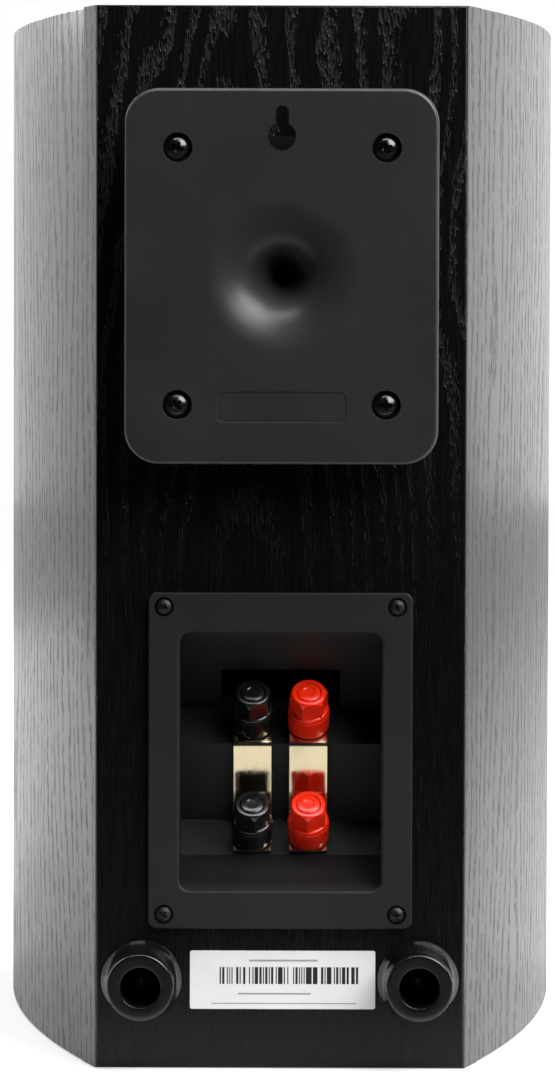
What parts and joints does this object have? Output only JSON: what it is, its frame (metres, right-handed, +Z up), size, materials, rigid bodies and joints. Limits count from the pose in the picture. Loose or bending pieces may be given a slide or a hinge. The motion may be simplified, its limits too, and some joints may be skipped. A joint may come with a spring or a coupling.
{
  "type": "bookshelf loudspeaker",
  "caption": "Two-way bookshelf loudspeaker with curved sides, a rear reflex port behind a wall-mount plate, a recessed bi-wire terminal cup and a pull-off cloth grille.",
  "frame": {"origin": "middle of the overall box's underside, on the surface the cabinet stands on", "axes": "+Z up, the drivers face -Y, the terminals face +Y, +X is the listener's left as they face the grille"},
  "size_m": [0.2156, 0.3543, 0.38],
  "materials": {
    "cabinet_veneer": "satin",
    "brace_board": "matte",
    "lining": "matte",
    "plate_plastic": "satin",
    "port_plastic": "satin",
    "cup_plastic": "satin",
    "bumper_plastic": "gloss",
    "black_screws": "gloss",
    "gasket_foam": "matte",
    "gilt_brass": "polished",
    "nickel_hardware": "satin",
    "red_plastic": "gloss",
    "black_plastic": "gloss",
    "label_paper": "satin",
    "board": "satin",
    "copper_winding": "gloss",
    "capacitor_skin": "gloss",
    "resistor_ceramic": "matte",
    "red_lead": "satin",
    "black_lead": "satin",
    "basket_metal": "satin",
    "cone_skin": "matte",
    "surround_rubber": "matte",
    "suspension_cloth": "matte",
    "plated_steel": "satin",
    "ferrite": "matte",
    "faceplate_metal": "satin",
    "dome_cloth": "matte",
    "grille_plastic": "satin",
    "grille_cloth": "matte"
  },
  "bodies": {
    "cabinet": {"acoustic_lining": "lining", "bottom_panel": "cabinet_veneer", "crossover_board": "board", "crossover_capacitors": "capacitor_skin", "crossover_inductors": "copper_winding", "crossover_resistors": "resistor_ceramic", "driver_screws": "black_screws", "driver_terminals": "nickel_hardware", "front_baffle": "cabinet_veneer", "grille_sockets": "gasket_foam", "left_side_panel": "cabinet_veneer", "negative_jumper_strap": "gilt_brass", "negative_leads": "black_lead", "port_plate": "plate_plastic", "port_plate_screws": "black_screws", "port_tube": "port_plastic", "positive_jumper_strap": "gilt_brass", "positive_leads": "red_lead", "rating_label": "label_paper", "rear_panel": "cabinet_veneer", "right_side_panel": "cabinet_veneer", "spacer_screws": "black_screws", "stud_nuts_and_tags": "nickel_hardware", "terminal_cup": "cup_plastic", "terminal_cup_gasket": "gasket_foam", "terminal_cup_screws": "black_screws", "terminal_studs": "gilt_brass", "top_panel": "cabinet_veneer", "tweeter_faceplate": "faceplate_metal", "tweeter_magnet": "ferrite", "tweeter_surround": "dome_cloth", "tweeter_yoke": "plated_steel", "wall_bumpers": "bumper_plastic", "window_brace": "brace_board", "woofer_basket": "basket_metal", "woofer_gasket": "gasket_foam", "woofer_magnet": "ferrite", "woofer_spider": "suspension_cloth", "woofer_surround": "surround_rubber", "woofer_top_plate": "plated_steel", "woofer_yoke": "plated_steel"},
    "woofer_diaphragm": {"woofer_cone": "cone_skin", "woofer_dust_cap": "cone_skin", "woofer_voice_coil": "copper_winding"},
    "tweeter_diaphragm": {"tweeter_dome": "dome_cloth", "tweeter_voice_coil": "copper_winding"},
    "grille": {"grille_frame": "grille_plastic", "grille_cloth": "grille_cloth"},
    "upper_positive_washer": {"upper_positive_clamp_washer": "gilt_brass"},
    "upper_positive_knob": {"upper_positive_cap": "red_plastic", "upper_positive_socket_plug": "red_plastic"},
    "upper_negative_washer": {"upper_negative_clamp_washer": "gilt_brass"},
    "upper_negative_knob": {"upper_negative_cap": "black_plastic", "upper_negative_socket_plug": "black_plastic"},
    "lower_positive_washer": {"lower_positive_clamp_washer": "gilt_brass"},
    "lower_positive_knob": {"lower_positive_cap": "red_plastic", "lower_positive_socket_plug": "red_plastic"},
    "lower_negative_washer": {"lower_negative_clamp_washer": "gilt_brass"},
    "lower_negative_knob": {"lower_negative_cap": "black_plastic", "lower_negative_socket_plug": "black_plastic"}
  },
  "joints": [
    {"name": "upper_positive_lift", "type": "slide", "parent": "cabinet", "child": "upper_positive_washer", "axis": [0, 0.7071, 0.7071], "range_m": [0, 0.006]},
    {"name": "upper_positive_turn", "type": "hinge", "parent": "upper_positive_washer", "child": "upper_positive_knob", "pos_m": [-0.0101, 0.12955, 0.12035], "axis": [0, 0.7071, 0.7071], "range_deg": [0, 2160]},
    {"name": "upper_negative_lift", "type": "slide", "parent": "cabinet", "child": "upper_negative_washer", "axis": [0, 0.7071, 0.7071], "range_m": [0, 0.006]},
    {"name": "upper_negative_turn", "type": "hinge", "parent": "upper_negative_washer", "child": "upper_negative_knob", "pos_m": [0.0101, 0.12955, 0.12035], "axis": [0, 0.7071, 0.7071], "range_deg": [0, 2160]},
    {"name": "lower_positive_lift", "type": "slide", "parent": "cabinet", "child": "lower_positive_washer", "axis": [0, 0.7071, 0.7071], "range_m": [0, 0.006]},
    {"name": "lower_positive_turn", "type": "hinge", "parent": "lower_positive_washer", "child": "lower_positive_knob", "pos_m": [-0.0101, 0.12955, 0.08005], "axis": [0, 0.7071, 0.7071], "range_deg": [0, 2160]},
    {"name": "lower_negative_lift", "type": "slide", "parent": "cabinet", "child": "lower_negative_washer", "axis": [0, 0.7071, 0.7071], "range_m": [0, 0.006]},
    {"name": "lower_negative_turn", "type": "hinge", "parent": "lower_negative_washer", "child": "lower_negative_knob", "pos_m": [0.0101, 0.12955, 0.08005], "axis": [0, 0.7071, 0.7071], "range_deg": [0, 2160]},
    {"name": "woofer_travel", "type": "slide", "parent": "cabinet", "child": "woofer_diaphragm", "axis": [0, -1, 0], "range_m": [-0.005, 0.005], "stiffness_N_per_m": 1100, "deforming": ["woofer_surround", "woofer_spider"]},
    {"name": "tweeter_travel", "type": "slide", "parent": "cabinet", "child": "tweeter_diaphragm", "axis": [0, -1, 0], "range_m": [-0.0004, 0.0004], "stiffness_N_per_m": 2000, "deforming": ["tweeter_surround"]},
    {"name": "grille_pull", "type": "slide", "parent": "cabinet", "child": "grille", "axis": [0, -1, 0], "range_m": [0, 0.05]}
  ],
  "couplings": [
    {"joint": "upper_positive_turn", "follows": "upper_positive_lift", "rad_per_m": 6283.2},
    {"joint": "upper_negative_turn", "follows": "upper_negative_lift", "rad_per_m": 6283.2},
    {"joint": "lower_positive_turn", "follows": "lower_positive_lift", "rad_per_m": 6283.2},
    {"joint": "lower_negative_turn", "follows": "lower_negative_lift", "rad_per_m": 6283.2}
  ]
}
